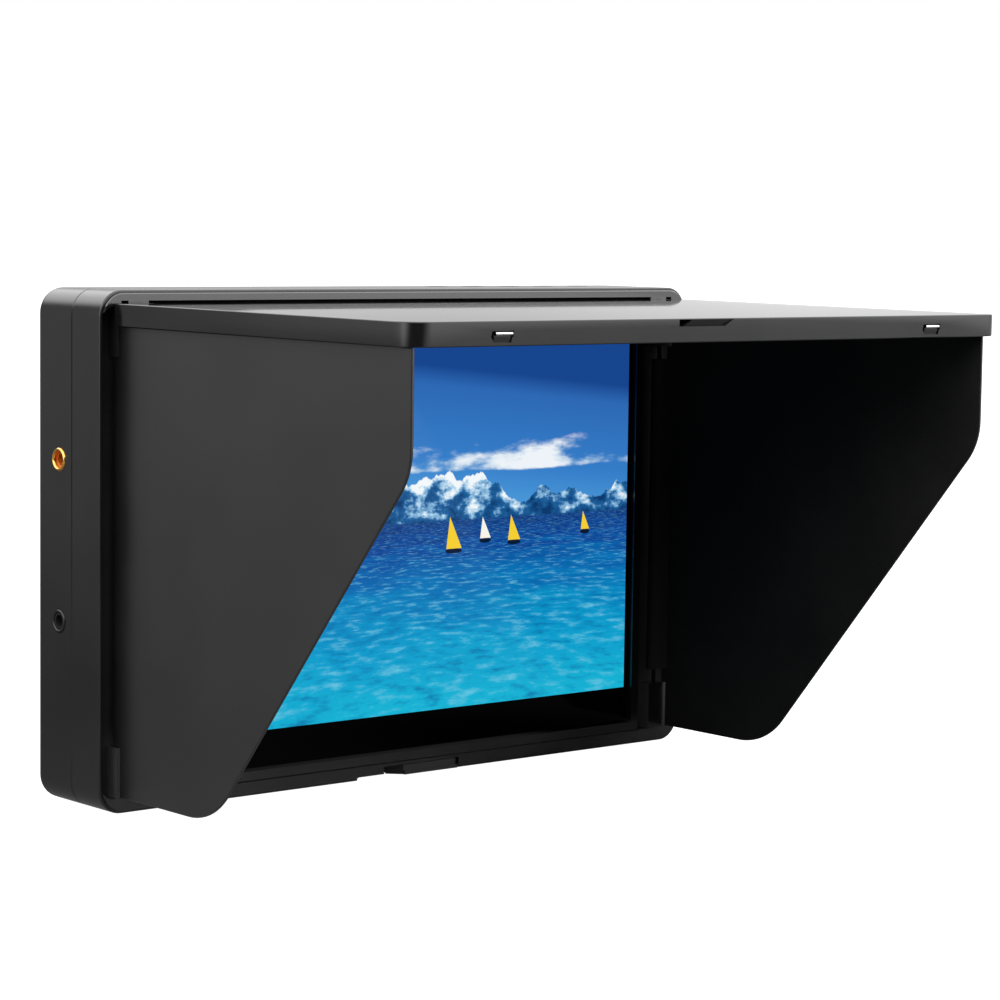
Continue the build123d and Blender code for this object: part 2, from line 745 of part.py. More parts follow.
with BuildPart() as battery_plate:
    slab(bay_floor, plate_back, plate_width, plate_height, bay_corner - bay_edge)
    # hooks that the battery slides on to
    for sx in (-1, 1):
        inner = sx * (hook_x - hook_width / 2)
        outer = sx * (hook_x + hook_width / 2)
        lip = sx * (hook_x + hook_width / 2 + hook_lip)
        for drop in hook_drops:
            z = mid + drop
            a, b = sorted((inner, outer))
            block((a, plate_back, z), (b, plate_back + hook_height, z + hook_length))
            a, b = sorted((inner, lip))
            block((a, plate_back + hook_height - hook_lip_thickness, z),
                  (b, plate_back + hook_height, z + hook_length))
    # guide walls of the latch, with lips that keep it in
    for sx in (-1, 1):
        a, b = sorted((sx * latch_guide, sx * (latch_guide + guide_wall)))
        block((a, plate_back, latch_z), (b, latch_lip_front + latch_lip, spring_seat_z))
        a, b = sorted((sx * (latch_guide - latch_lip_reach), sx * latch_guide))
        block((a, latch_lip_front, latch_z), (b, latch_lip_front + latch_lip, spring_seat_z))
    # stop below the latch and seat of its spring above it
    for z in (latch_z - latch_gap - guide_wall, spring_seat_z):
        block((-latch_guide - guide_wall, plate_back, z),
              (latch_guide + guide_wall, latch_lip_front + latch_lip, z + guide_wall))
save(battery_plate.part, "battery_plate")

with BuildPart() as battery_contacts:
    for i in (-1, 0, 1):
        block((i * contact_pitch - contact_width / 2, plate_back, mid + contact_drop),
              (i * contact_pitch + contact_width / 2, plate_back + contact_height,
               mid + contact_drop + contact_length))
save(battery_contacts.part, "battery_contacts")

with BuildPart() as battery_latch:
    block((-latch_width / 2, plate_back + latch_gap, latch_z),
          (latch_width / 2, latch_flange_back, latch_z + latch_length))
    thumb_half = latch_width / 2 - latch_lip_reach - latch_gap
    block((-thumb_half, latch_flange_back, latch_z),
          (thumb_half, plate_back + latch_height, latch_z + latch_length))
    for i in range(latch_ribs):
        z = latch_z + latch_length * (i + 1) / (latch_ribs + 1)
        block((-thumb_half, plate_back + latch_height, z - latch_rib / 2),
              (thumb_half, plate_back + latch_height + latch_rib, z + latch_rib / 2))
save(battery_latch.part, "battery_latch")

spring_path = Helix(
    pitch=(spring_length - 2 * spring_wire) / spring_turns,
    height=spring_length - 2 * spring_wire,
    radius=spring_radius,
    center=(0, front + spring_axis_depth, latch_z + latch_length + spring_wire),
)
with BuildPart() as latch_spring:
    with BuildSketch(Plane(origin=spring_path @ 0, z_dir=spring_path % 0)):
        Circle(spring_wire)
    sweep(path=spring_path, is_frenet=True)
save(latch_spring.part, "latch_spring")

# ------------------------------------------------------------------- hood frame

ear_outer = knuckle_inner - knuckle_gap
ear_inner = ear_outer - lid_ear_width
catch_right = notch_right - catch_gap
catch_left = catch_right - catch_width

with BuildPart() as hood_frame:
    slab(0, frame_depth, frame_width, frame_height, frame_corner)
    chamfer(hood_frame.faces().sort_by(Axis.Y)[0].edges(), frame_chamfer)
    slab(lip_depth, frame_depth, socket_width, socket_height, window_corner, z=window_mid,
         mode=Mode.SUBTRACT)
    slab(0, lip_depth, window_width, window_height, window_corner, z=window_mid,
         mode=Mode.SUBTRACT)
    # slot between the top rail and the lid
    block((-slot_half_length, -overrun, slot_bottom), (slot_half_length, slot_depth, slot_top),
          mode=Mode.SUBTRACT)
    # line across the bottom rail
    block((-channel_inner, -overrun, groove_height),
          (channel_inner, groove_width, groove_height + groove_width), mode=Mode.SUBTRACT)
    for name, side in flap_side.items():
        axis_x = side * flap_axis_x
        # channel
        with BuildSketch(facing(0)) as outline:
            with Locations((side * (channel_inner + channel_outer) / 2,
                            (channel_bottom + channel_top) / 2)):
                Rectangle(channel_outer - channel_inner, channel_top - channel_bottom)
            fillet(outline.vertices().group_by(Axis.X)[-1 if side > 0 else 0], channel_corner)
        extrude(outline.sketch, amount=-channel_depth, mode=Mode.SUBTRACT)
        # lugs at both ends of the channel
        low, high = sorted((side * (flap_axis_x - lug_inner), side * (side_x - flap_inset)))
        for low_z, high_z in ((channel_bottom, lug_bottom_top), (lug_top_bottom, slot_bottom)):
            block((low, lug_front, low_z), (high, channel_depth, high_z))
        # knuckle of the lid hinge
        low, high = sorted((side * knuckle_inner, side * knuckle_outer))
        block((low, lid_axis_depth, lid_axis_z - lid_barrel_radius),
              (high, slot_depth, lid_top))
        block((low, 0, lid_axis_z), (high, slot_depth, slot_top))
        side_rod(low, high, lid_barrel_radius, lid_axis_depth, lid_axis_z)
        side_rod(low - overrun, high + overrun, lid_pin_radius, lid_axis_depth, lid_axis_z,
                 mode=Mode.SUBTRACT)
        # seats of the flap pins
        for low_z in (lug_bottom_top - flap_pin_seat, lug_top_bottom):
            upright(low_z, low_z + flap_pin_seat, flap_pin_radius, axis_x,
                    flap_axis_depth[name], mode=Mode.SUBTRACT)
    # notch for the catch, with the groove that guides it
    block((catch_left - catch_slant - catch_travel - catch_gap, -overrun, 0),
          (notch_right, notch_depth, notch_height), mode=Mode.SUBTRACT)
    block((notch_left, -overrun, 0), (notch_right, frame_depth, notch_step),
          mode=Mode.SUBTRACT)
    block((catch_left - catch_travel - catch_gap, 0, catch_rail_height - catch_gap),
          (catch_right + catch_gap, notch_depth + catch_rail_reach + catch_gap,
           catch_rail_height + catch_rail + catch_gap), mode=Mode.SUBTRACT)
save(hood_frame.part, "hood_frame")

with BuildPart() as hood_catch:
    with BuildSketch(Plane.XY.offset(catch_foot)) as outline:
        with BuildLine():
            Polyline((catch_left, front + catch_sink), (catch_right, front + catch_sink),
                     (catch_right, front + notch_depth - catch_gap),
                     (catch_left - catch_slant, front + notch_depth - catch_gap), close=True)
        make_face()
    extrude(outline.sketch, amount=notch_height - catch_gap - catch_foot)
    block((catch_left, catch_sink - catch_thumb_rib, catch_foot),
          (catch_right, catch_sink, catch_foot + catch_thumb_rib_height))
    block((catch_left, notch_depth - catch_gap, catch_rail_height),
          (catch_right, notch_depth + catch_rail_reach, catch_rail_height + catch_rail))
save(hood_catch.part, "hood_catch")

# ------------------------------------------------------------------------ flaps

flap_reach = lid_reach - flap_front_inset
flap_nose_reach = lid_reach - flap_nose_inset
flap_bottom = channel_bottom + flap_floor_gap
flap_top = lid_top - lid_lip + flap_tuck
flap_nose_top = flap_top - (flap_nose_reach + lid_axis_depth) * math.sin(math.radians(lid_droop))
flap_nose_height = lid_top - lid_lip - flap_nose_gap
flap_slant_end = flap_nose_height - flap_front_height


def reach_point(reach, height):
    """Point of a flap's outline: reach forward of the front plane, and height."""
    return (front - reach, height)


for name, side in flap_side.items():
    axis_x = side * flap_axis_x
    axis_reach = -flap_axis_depth[name]
    outline_points = [
        reach_point(axis_reach, flap_bottom),
        reach_point(flap_slant_start, flap_bottom),
        reach_point(flap_reach, flap_slant_end),
        reach_point(flap_reach, flap_nose_height),
        reach_point(flap_nose_reach, flap_nose_top),
        reach_point(axis_reach, flap_top),
    ]
    outer_x = side * (side_x - flap_inset)
    inner_x = outer_x - side * flap_thickness
    with BuildPart() as flap:
        with BuildSketch(Plane.YZ.offset(min(inner_x, outer_x))) as outline:
            with BuildLine():
                Polyline(*outline_points, close=True)
            make_face()
            fillet(outline.vertices().sort_by_distance((*outline_points[1], 0))[:1],
                   flap_slant_low_round)
            fillet(outline.vertices().sort_by_distance((*outline_points[2], 0))[:1],
                   flap_slant_high_round)
        extrude(outline.sketch, amount=flap_thickness)
        chamfer(flap.faces().filter_by(Axis.X).edges(), flap_edge_chamfer)
        # cut back at the lugs
        low, high = sorted((inner_x, outer_x + side * overrun))
        for low_z, high_z in ((flap_bottom - overrun, lug_bottom_top + lug_gap),
                              (lug_top_bottom - lug_gap, flap_top + overrun)):
            block((low, -flap_root, low_z), (high, flap_axis_depth[name] + overrun, high_z),
                  mode=Mode.SUBTRACT)
        # barrel, joined to the plate by a web
        upright(barrel_bottom, barrel_top, flap_barrel_radius, axis_x, flap_axis_depth[name])
        block((min(axis_x, inner_x), flap_axis_depth[name] - flap_barrel_radius, barrel_bottom),
              (max(axis_x, inner_x), flap_axis_depth[name], barrel_top))
        for low_z in (barrel_bottom, barrel_top - flap_pin_grip - running_gap):
            upright(low_z, low_z + flap_pin_grip + running_gap, flap_pin_radius + running_gap,
                    axis_x, flap_axis_depth[name], mode=Mode.SUBTRACT)
    save(flap.part, name + "_flap")

    with BuildPart() as flap_pins:
        upright(lug_bottom_top - flap_pin_seat, barrel_bottom + flap_pin_grip, flap_pin_radius,
                axis_x, flap_axis_depth[name])
        upright(barrel_top - flap_pin_grip, lug_top_bottom + flap_pin_seat, flap_pin_radius,
                axis_x, flap_axis_depth[name])
    save(flap_pins.part, name + "_flap_pins")

# -------------------------------------------------------------------------- lid

lid_length = lid_reach + lid_rear
lid_middle = front - lid_reach + lid_length / 2
lip_slot_low = {
    side: lid_centre + (side * lip_slot_spacing - lip_slot_length) / 2 for side in (-1, 1)
}
lip_pin_z = lid_top - lip_pin_drop
lip_pin_depth = lip_pin_sink - lid_reach
lid_axis = Axis((0, front + lid_axis_depth, lid_axis_z), (1, 0, 0))


def lip_hollow(low, high, top, height, slant, depth):
    """Cutter for a hollow in the lid's front face, deeper below, with a slanted right end."""
    lip_face = front - lid_reach
    with BuildPart() as hollow:
        with BuildSketch(Plane.YZ.offset(low)) as outline:
            with BuildLine():
                Polyline((lip_face - overrun, top), (lip_face + hollow_top, top),
                         (lip_face + depth, top - height),
                         (lip_face - overrun, top - height), close=True)
            make_face()
        extrude(outline.sketch, amount=high - low)
        with BuildSketch(facing(-lid_reach - overrun)) as outline:
            with BuildLine():
                Polyline((low, top), (high, top), (high - slant, top - height),
                         (low, top - height), close=True)
            make_face()
        extrude(outline.sketch, amount=-(depth + overrun), mode=Mode.INTERSECT)
    return hollow.part


def lip_hole(*corners):
    """Cutter for a hole through the lid's front face into the block behind it."""
    with BuildPart() as hole:
        with BuildSketch(facing(-lid_reach - overrun)) as outline:
            with BuildLine():
                Polyline(*corners, close=True)
            make_face()
        extrude(outline.sketch, amount=-(lip_hole_depth + overrun))
    return hole.part


with BuildPart() as lid:
    with BuildSketch(Plane.XY.offset(lid_top - lid_lip)) as outline:
        with Locations((lid_centre, lid_middle)):
            Rectangle(lid_width, lid_length)
        fillet(outline.vertices().group_by(Axis.Y)[0].sort_by(Axis.X)[:1], lid_corner["left"])
        fillet(outline.vertices().group_by(Axis.Y)[0].sort_by(Axis.X)[-1:], lid_corner["right"])
    extrude(outline.sketch, amount=lid_lip)
    fillet(lid.faces().sort_by(Axis.Z)[-1].edges(), lid_edge_round)
    with BuildSketch(Plane.XY.offset(lid_top - lid_lip)) as outline:
        with Locations((lid_centre, lid_middle + lid_lip_thickness)):
            Rectangle(lid_width - 2 * lid_lip_thickness, lid_length)
        fillet(outline.vertices().group_by(Axis.Y)[0].sort_by(Axis.X)[:1],
               lid_corner["left"] - lid_lip_thickness)
        fillet(outline.vertices().group_by(Axis.Y)[0].sort_by(Axis.X)[-1:],
               lid_corner["right"] - lid_lip_thickness)
    extrude(outline.sketch, amount=lid_lip - lid_thickness, mode=Mode.SUBTRACT)
    chamfer(lid.faces().sort_by(Axis.Z)[0].edges(), lid_lip_chamfer)
    # round the lower rear corners of the side lips
    with BuildSketch(Plane.YZ.offset(lid_left - overrun)) as outline:
        with Locations((front + lid_rear - lid_heel_round / 2,
                        lid_top - lid_lip + lid_heel_round / 2)):
            Rectangle(lid_heel_round, lid_heel_round)
        with Locations((front + lid_rear - lid_heel_round, lid_top - lid_lip + lid_heel_round)):
            Circle(lid_heel_round, mode=Mode.SUBTRACT)
    extrude(outline.sketch, amount=lid_width + 2 * overrun, mode=Mode.SUBTRACT)
    for side in flap_side.values():
        # room round the frame's knuckle
        low, high = sorted((side * (knuckle_inner - knuckle_gap),
                            side * (knuckle_outer + knuckle_gap)))
        block((low, lid_axis_depth - lid_barrel_radius - knuckle_gap, lid_top - lid_thickness),
              (high, 0, lid_top), mode=Mode.SUBTRACT)
        # ear with the pin's bore
        low, high = sorted((side * ear_inner, side * ear_outer))
        side_rod(low, high, lid_barrel_radius, lid_axis_depth, lid_axis_z)
        side_rod(low - overrun, high + overrun, lid_pin_radius + running_gap, lid_axis_depth,
                 lid_axis_z, mode=Mode.SUBTRACT)
        # slot in the front lip for the small steel pin, backed by a block
        slot_low = lip_slot_low[side]
        slot_high = slot_low + lip_slot_length
        slot_z = lid_top - lip_slot_top
        block((slot_low - lip_block_wall, -lid_reach + lid_lip_thickness,
               slot_z - lip_slot_height - lip_block_wall),
              (slot_high + lip_block_wall, -lid_reach + lip_block_depth, slot_z))
        hollow_start = slot_low + lip_hole_length / 2
        add(lip_hollow(hollow_start, slot_high, slot_z, lip_slot_height, lip_slot_slant,
                       hollow_low["slot"]), mode=Mode.SUBTRACT)
        block((hollow_start, -lid_reach - overrun, lip_pin_z - lip_groove_height / 2),
              (slot_high, -lid_reach + lip_groove_depth, lip_pin_z + lip_groove_height / 2),
              mode=Mode.SUBTRACT)
        add(lip_hole((slot_low + lip_hole_length / 4, slot_z), (slot_low + lip_hole_length, slot_z),
                     (slot_low + lip_hole_length / 2, slot_z - lip_slot_height),
                     (slot_low, slot_z - lip_slot_height / 2)), mode=Mode.SUBTRACT)
        side_rod(slot_low, slot_high + lip_pin_grip, lip_pin_radius, lip_pin_depth, lip_pin_z,
                 mode=Mode.SUBTRACT)
    # pocket for the hood catch in the front lip, backed by a block
    pocket_z = lid_top - catch_pocket_top
    block((catch_pocket_left - lip_block_wall, -lid_reach + lid_lip_thickness,
           pocket_z - catch_pocket_height - lip_block_wall),
          (catch_pocket_left + catch_hole_length + lip_block_wall,
           -lid_reach + lip_block_depth, lid_top - lid_thickness))
    add(lip_hollow(catch_pocket_left, catch_pocket_left + catch_pocket_length, pocket_z,
                   catch_pocket_height, catch_pocket_slant, hollow_low["pocket"]),
        mode=Mode.SUBTRACT)
    add(lip_hole((catch_pocket_left, pocket_z), (catch_pocket_left + catch_hole_length, pocket_z),
                 (catch_pocket_left + catch_hole_length / 2, pocket_z - catch_pocket_height),
                 (catch_pocket_left, pocket_z - catch_pocket_height)), mode=Mode.SUBTRACT)
save(lid.part.rotate(lid_axis, lid_droop), "lid")

with BuildPart() as lip_pins:
    for side in flap_side.values():
        slot_low = lip_slot_low[side]
        side_rod(slot_low + lip_hole_length, slot_low + lip_slot_length + lip_pin_grip,
                 lip_pin_radius, lip_pin_depth, lip_pin_z)
save(lip_pins.part.rotate(lid_axis, lid_droop), "lid_lip_pins")

with BuildPart() as lid_hinge_pins:
    for side in flap_side.values():
        low, high = sorted((side * ear_inner, side * knuckle_outer))
        side_rod(low, high, lid_pin_radius, lid_axis_depth, lid_axis_z)
save(lid_hinge_pins.part, "lid_hinge_pins")
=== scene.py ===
import json
import math

import bmesh
import bpy
from mathutils import Matrix, Vector


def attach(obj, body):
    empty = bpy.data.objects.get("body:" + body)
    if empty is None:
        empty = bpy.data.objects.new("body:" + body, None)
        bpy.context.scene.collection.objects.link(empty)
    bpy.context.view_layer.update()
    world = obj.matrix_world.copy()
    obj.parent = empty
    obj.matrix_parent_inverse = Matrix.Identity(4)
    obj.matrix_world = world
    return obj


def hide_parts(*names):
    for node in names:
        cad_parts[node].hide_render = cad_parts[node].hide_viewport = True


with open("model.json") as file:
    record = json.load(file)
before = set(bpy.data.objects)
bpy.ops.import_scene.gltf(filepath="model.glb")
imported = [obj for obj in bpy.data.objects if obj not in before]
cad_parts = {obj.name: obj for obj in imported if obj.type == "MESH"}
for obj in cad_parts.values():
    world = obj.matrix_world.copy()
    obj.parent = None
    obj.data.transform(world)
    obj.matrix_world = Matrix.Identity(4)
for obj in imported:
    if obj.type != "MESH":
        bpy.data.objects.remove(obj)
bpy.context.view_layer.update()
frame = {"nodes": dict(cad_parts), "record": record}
nodes = frame["nodes"]

MM = 0.001
FRONT = -24.4  # Y of the housing's front plane, mm
SIDE = 115.0  # X of the housing's side
SOCKETS = FRONT + 22.6  # Y of every socket's middle

# ------------------------------------------------------------------ small helpers


def colour(code):
    """sRGB hex value as linear red, green, blue and alpha."""
    parts = [int(code[i : i + 2], 16) / 255 for i in (1, 3, 5)]
    return [c / 12.92 if c <= 0.04045 else ((c + 0.055) / 1.055) ** 2.4 for c in parts] + [1.0]


def add_node(tree, kind, inputs=None, stops=(), **settings):
    """Adds a node. An input takes a number or colour, an output socket, or a node's first one."""
    made = tree.nodes.new(kind)
    for name, value in settings.items():
        setattr(made, name, value)
    for name, value in (inputs or {}).items():
        if isinstance(value, bpy.types.Node):
            value = value.outputs[0]
        if isinstance(value, bpy.types.NodeSocket):
            tree.links.new(value, made.inputs[name])
        else:
            made.inputs[name].default_value = value
    for i, (position, code) in enumerate(stops):
        points = made.color_ramp.elements
        point = points[i] if i < 2 else points.new(position)
        point.position = position
        point.color = colour(code) if isinstance(code, str) else [code, code, code, 1.0]
    return made


def new_material(name):
    """Material with its shader, its output and the object's own coordinates."""
    material = bpy.data.materials.new(name)
    material.use_nodes = True
    tree = material.node_tree
    tree.nodes.clear()
    shader = add_node(tree, "ShaderNodeBsdfPrincipled")
    add_node(tree, "ShaderNodeOutputMaterial", {"Surface": shader})
    place = add_node(tree, "ShaderNodeTexCoord").outputs["Object"]
    return material, tree, shader, place


def moulded_plastic(name, base, pale, grain, depth, roughness, spread, level=0.5, cloud=35.0):
    """Injection-moulded plastic with a spark-eroded grain; sizes in millimetres."""
    material, tree, shader, place = new_material(name)
    grain_map = add_node(tree, "ShaderNodeTexNoise",
                         {"Vector": place, "Scale": 1 / (grain * MM), "Detail": 3.0,
                          "Roughness": 0.6})
    # handling and flow marks, a few centimetres across
    cloud_map = add_node(tree, "ShaderNodeTexNoise",
                         {"Vector": place, "Scale": 1 / (cloud * MM), "Detail": 4.0,
                          "Roughness": 0.55})
    mixed = add_node(tree, "ShaderNodeMath", {0: grain_map, 1: 0.6, 2: cloud_map},
                     operation="MULTIPLY_ADD")
    tone = add_node(tree, "ShaderNodeValToRGB", {"Fac": mixed},
                    stops=[(0.45, base), (1.0, pale)])
    rough = add_node(tree, "ShaderNodeMapRange",
                     {"Value": mixed, "From Min": 0.4, "From Max": 1.2,
                      "To Min": roughness - spread, "To Max": roughness + spread})
    bump = add_node(tree, "ShaderNodeBump",
                    {"Height": grain_map, "Strength": 1.0, "Distance": depth * MM})
    tree.links.new(tone.outputs["Color"], shader.inputs["Base Color"])
    tree.links.new(rough.outputs["Result"], shader.inputs["Roughness"])
    tree.links.new(bump.outputs["Normal"], shader.inputs["Normal"])
    shader.inputs["Specular IOR Level"].default_value = level
    shader.inputs["IOR"].default_value = 1.5
    return material


def turned_metal(name, base, pale, roughness, spread, scratch, depth):
    """Metal with fine tool or polishing marks, a given width in millimetres."""
    material, tree, shader, place = new_material(name)
    marks = add_node(tree, "ShaderNodeTexNoise",
                     {"Vector": place, "Scale": 1 / (scratch * MM), "Detail": 4.0,
                      "Roughness": 0.7})
    tone = add_node(tree, "ShaderNodeValToRGB", {"Fac": marks}, stops=[(0.3, base), (0.7, pale)])
    rough = add_node(tree, "ShaderNodeMapRange",
                     {"Value": marks, "From Min": 0.3, "From Max": 0.7,
                      "To Min": roughness - spread, "To Max": roughness + spread})
    bump = add_node(tree, "ShaderNodeBump",
                    {"Height": marks, "Strength": 0.6, "Distance": depth * MM})
    tree.links.new(tone.outputs["Color"], shader.inputs["Base Color"])
    tree.links.new(rough.outputs["Result"], shader.inputs["Roughness"])
    tree.links.new(bump.outputs["Normal"], shader.inputs["Normal"])
    shader.inputs["Metallic"].default_value = 1.0
    return material


# ---------------------------------------------------------------------- materials

# ABS moulded in a spark-eroded tool: near black, a fine even grain that breaks up highlights
shell_abs = moulded_plastic("Spark_textured_ABS_shell", "#0a0a0b", "#141415", 0.55, 0.006,
                            0.22, 0.04, level=0.65)
frame_abs = moulded_plastic("Fine_textured_ABS_frame", "#090909", "#121213", 0.5, 0.004,
                            0.22, 0.04, level=0.95)
flap_abs = moulded_plastic("Spark_textured_ABS_flap", "#0c0c0d", "#151516", 0.6, 0.008,
                           0.34, 0.05, level=0.85)
# the hood's inside is sprayed with an anti-glare paint that gives back almost nothing; the same
# dull paint also darkens the channels, slot, groove, lip holes and upper lugs as painted shade
lining_and_shade_paint = moulded_plastic("Anti_glare_and_painted_shade", "#191919", "#252525", 0.5, 0.03, 0.85, 0.05,
                               level=0.06)
# satin ABS: smoother than the shell, a mirror for the bright wall behind at a low angle
lid_abs = moulded_plastic("Satin_ABS_lid", "#0a0a0b", "#141415", 0.5, 0.002, 0.14, 0.03,
                          level=0.45)
# the lid's upper face is smoother still: seen along it, it mirrors the rail and the wall behind
lid_top_abs = moulded_plastic("Polished_ABS_lid_top", "#0a0a0b", "#141415", 0.6, 0.0005, 0.06,
                              0.02, level=0.4)
# painted light: the sides of the lower lugs are a paler grey that stands in for the light they
# catch from the left
painted_light_lug_abs = moulded_plastic("ABS_lugs_with_painted_light", "#343434", "#444444", 0.5, 0.004, 0.5, 0.05)
catch_acetal = moulded_plastic("Moulded_acetal", "#070708", "#101011", 0.8, 0.01, 0.42, 0.05)
button_abs = moulded_plastic("Polished_ABS_buttons", "#0c0c0d", "#161618", 0.7, 0.006, 0.28, 0.05)
foam = moulded_plastic("Closed_cell_foam", "#0c0c0c", "#1a1a1a", 0.9, 0.12, 0.9, 0.05, level=0.2)
nylon = moulded_plastic("Moulded_black_nylon", "#060606", "#101010", 0.4, 0.01, 0.45, 0.05)
jack_resin = moulded_plastic("Orange_jack_resin", "#8f3f0c", "#c8641a", 0.5, 0.01, 0.4, 0.05)
diffuser = moulded_plastic("Polycarbonate_diffuser", "#d8d8d4", "#efefec", 0.3, 0.01, 0.35, 0.05)
chip_epoxy = moulded_plastic("Chip_epoxy", "#121212", "#202020", 0.2, 0.01, 0.55, 0.05)
ribbon_film = moulded_plastic("Polyimide_film", "#7a3a08", "#a85a12", 1.5, 0.004, 0.25, 0.05)
board_mask = moulded_plastic("Solder_mask_on_glass_epoxy", "#06331a", "#0c5a2c", 1.2, 0.02, 0.3,
                             0.06, cloud=9.0)
panel_film = moulded_plastic("Polariser_film", "#06080a", "#0c1014", 3.0, 0.002, 0.2, 0.04)

gold = turned_metal("Gold_plated_brass", "#e09a2c", "#ffd98a", 0.22, 0.06, 0.5, 0.01)
contact_gold = turned_metal("Gold_plated_contacts", "#d8a040", "#ffdc90", 0.2, 0.05, 0.4, 0.005)
brass = turned_metal("Turned_brass", "#a8803a", "#d9b469", 0.28, 0.06, 0.4, 0.01)
steel = turned_metal("Turned_steel", "#8e8f92", "#c2c3c6", 0.3, 0.06, 0.4, 0.01)
pin_steel = turned_metal("Polished_stainless_steel", "#b9b9bb", "#ececee", 0.2, 0.05, 0.5, 0.004)
zinc = turned_metal("Zinc_plated_steel", "#9a9c9e", "#d0d2d4", 0.32, 0.06, 0.8, 0.01)
tin = turned_metal("Tin_plated_steel", "#a0a1a3", "#d6d7d9", 0.25, 0.05, 0.6, 0.006)
black_oxide = turned_metal("Black_oxide_steel", "#101012", "#222225", 0.42, 0.06, 0.5, 0.01)

# toughened glass with a black border and, behind it, the lit panel showing a picture
screen_glass, tree, shader, place = new_material("Toughened_glass_over_lit_panel")
MATHS = "ShaderNodeMath"
picture_left, picture_right, picture_low, picture_high = -93.4, 91.6, 19.23, 138.9
at = add_node(tree, "ShaderNodeSeparateXYZ", {"Vector": place})
across = add_node(tree, "ShaderNodeMapRange",
                  {"Value": at.outputs["X"], "From Min": picture_left * MM,
                   "From Max": picture_right * MM}, clamp=False)
up = add_node(tree, "ShaderNodeMapRange",
              {"Value": at.outputs["Z"], "From Min": picture_low * MM,
               "From Max": picture_high * MM}, clamp=False)
horizon = 0.5

# sky: light over the water, deep blue at the top right
sky_turn = add_node(tree, MATHS, {0: across, 1: 0.16, 2: up}, operation="MULTIPLY_ADD")
sky = add_node(tree, "ShaderNodeValToRGB", {"Fac": sky_turn},
               stops=[(0.5, "#8cc8ea"), (0.62, "#4f9fde"), (0.76, "#357dc8"),
                      (0.95, "#2d68b4"), (1.12, "#17458e")])
# fair-weather clouds, flat below and piled above
cloud_across = add_node(tree, MATHS, {0: across, 1: 5.5}, operation="MULTIPLY")
cloud_up = add_node(tree, MATHS, {0: up, 1: 10.0}, operation="MULTIPLY")
cloud_at = add_node(tree, "ShaderNodeCombineXYZ", {"X": cloud_across, "Y": cloud_up})
cloud_noise = add_node(tree, "ShaderNodeTexNoise",
                       {"Vector": cloud_at, "Scale": 1.0, "Detail": 9.0, "Roughness": 0.56},
                       noise_dimensions="2D")
cloud_rise = add_node(tree, "ShaderNodeMapRange",
                      {"Value": up, "From Min": 0.6, "From Max": 0.64},
                      interpolation_type="SMOOTHSTEP")
cloud_fade = add_node(tree, "ShaderNodeMapRange",
                      {"Value": up, "From Min": 0.64, "From Max": 0.84, "To Min": 1.0,
                       "To Max": 0.0}, interpolation_type="SMOOTHSTEP")
cloud_band = add_node(tree, MATHS, {0: cloud_rise, 1: cloud_fade}, operation="MULTIPLY")
cloud_mass = add_node(tree, MATHS, {0: cloud_noise, 1: cloud_band}, operation="MULTIPLY")
cloud_mask = add_node(tree, "ShaderNodeMapRange",
                      {"Value": cloud_mass, "From Min": 0.4, "From Max": 0.56, "To Max": 0.92},
                      interpolation_type="SMOOTHSTEP")
cloud_tone = add_node(tree, "ShaderNodeValToRGB", {"Fac": cloud_noise},
                      stops=[(0.45, "#9cc4e2"), (0.62, "#f6fafc")])
sky = add_node(tree, "ShaderNodeMix",
               {0: cloud_mask, 6: sky.outputs[0], 7: cloud_tone.outputs[0]}, data_type="RGBA")
# far shore: blue hills with snow on their upper slopes
ridge_at = add_node(tree, "ShaderNodeCombineXYZ", {"X": cloud_across, "Y": 3.3})
ridge = add_node(tree, "ShaderNodeTexNoise",
                 {"Vector": ridge_at, "Scale": 1.0, "Detail": 8.0, "Roughness": 0.52},
                 noise_dimensions="2D")
crest = add_node(tree, MATHS, {0: ridge, 1: 0.36, 2: horizon - 0.09}, operation="MULTIPLY_ADD")
below_crest = add_node(tree, MATHS, {0: crest, 1: up}, operation="SUBTRACT")
hill_mask = add_node(tree, "ShaderNodeMapRange",
                     {"Value": below_crest, "From Min": -0.0015, "From Max": 0.0015})
slope_at = add_node(tree, "ShaderNodeCombineXYZ",
                    {"X": add_node(tree, MATHS, {0: across, 1: 24.0}, operation="MULTIPLY"),
                     "Y": add_node(tree, MATHS, {0: up, 1: 22.0}, operation="MULTIPLY")})
slope = add_node(tree, "ShaderNodeTexNoise",
                 {"Vector": slope_at, "Scale": 1.0, "Detail": 6.0, "Roughness": 0.6},
                 noise_dimensions="2D")
snow_line = add_node(tree, MATHS, {0: up, 1: 2.2, 2: slope}, operation="MULTIPLY_ADD")
hills = add_node(tree, "ShaderNodeValToRGB", {"Fac": add_node(
    tree, "ShaderNodeMapRange", {"Value": snow_line, "From Min": 1.5, "From Max": 1.95})},
    stops=[(0.0, "#0d3a6e"), (0.4, "#1f629e"), (0.62, "#8fc0e2"), (0.85, "#f2f8fb")])
land = add_node(tree, "ShaderNodeMix",
                {0: hill_mask, 6: sky.outputs[2], 7: hills.outputs[0]}, data_type="RGBA")
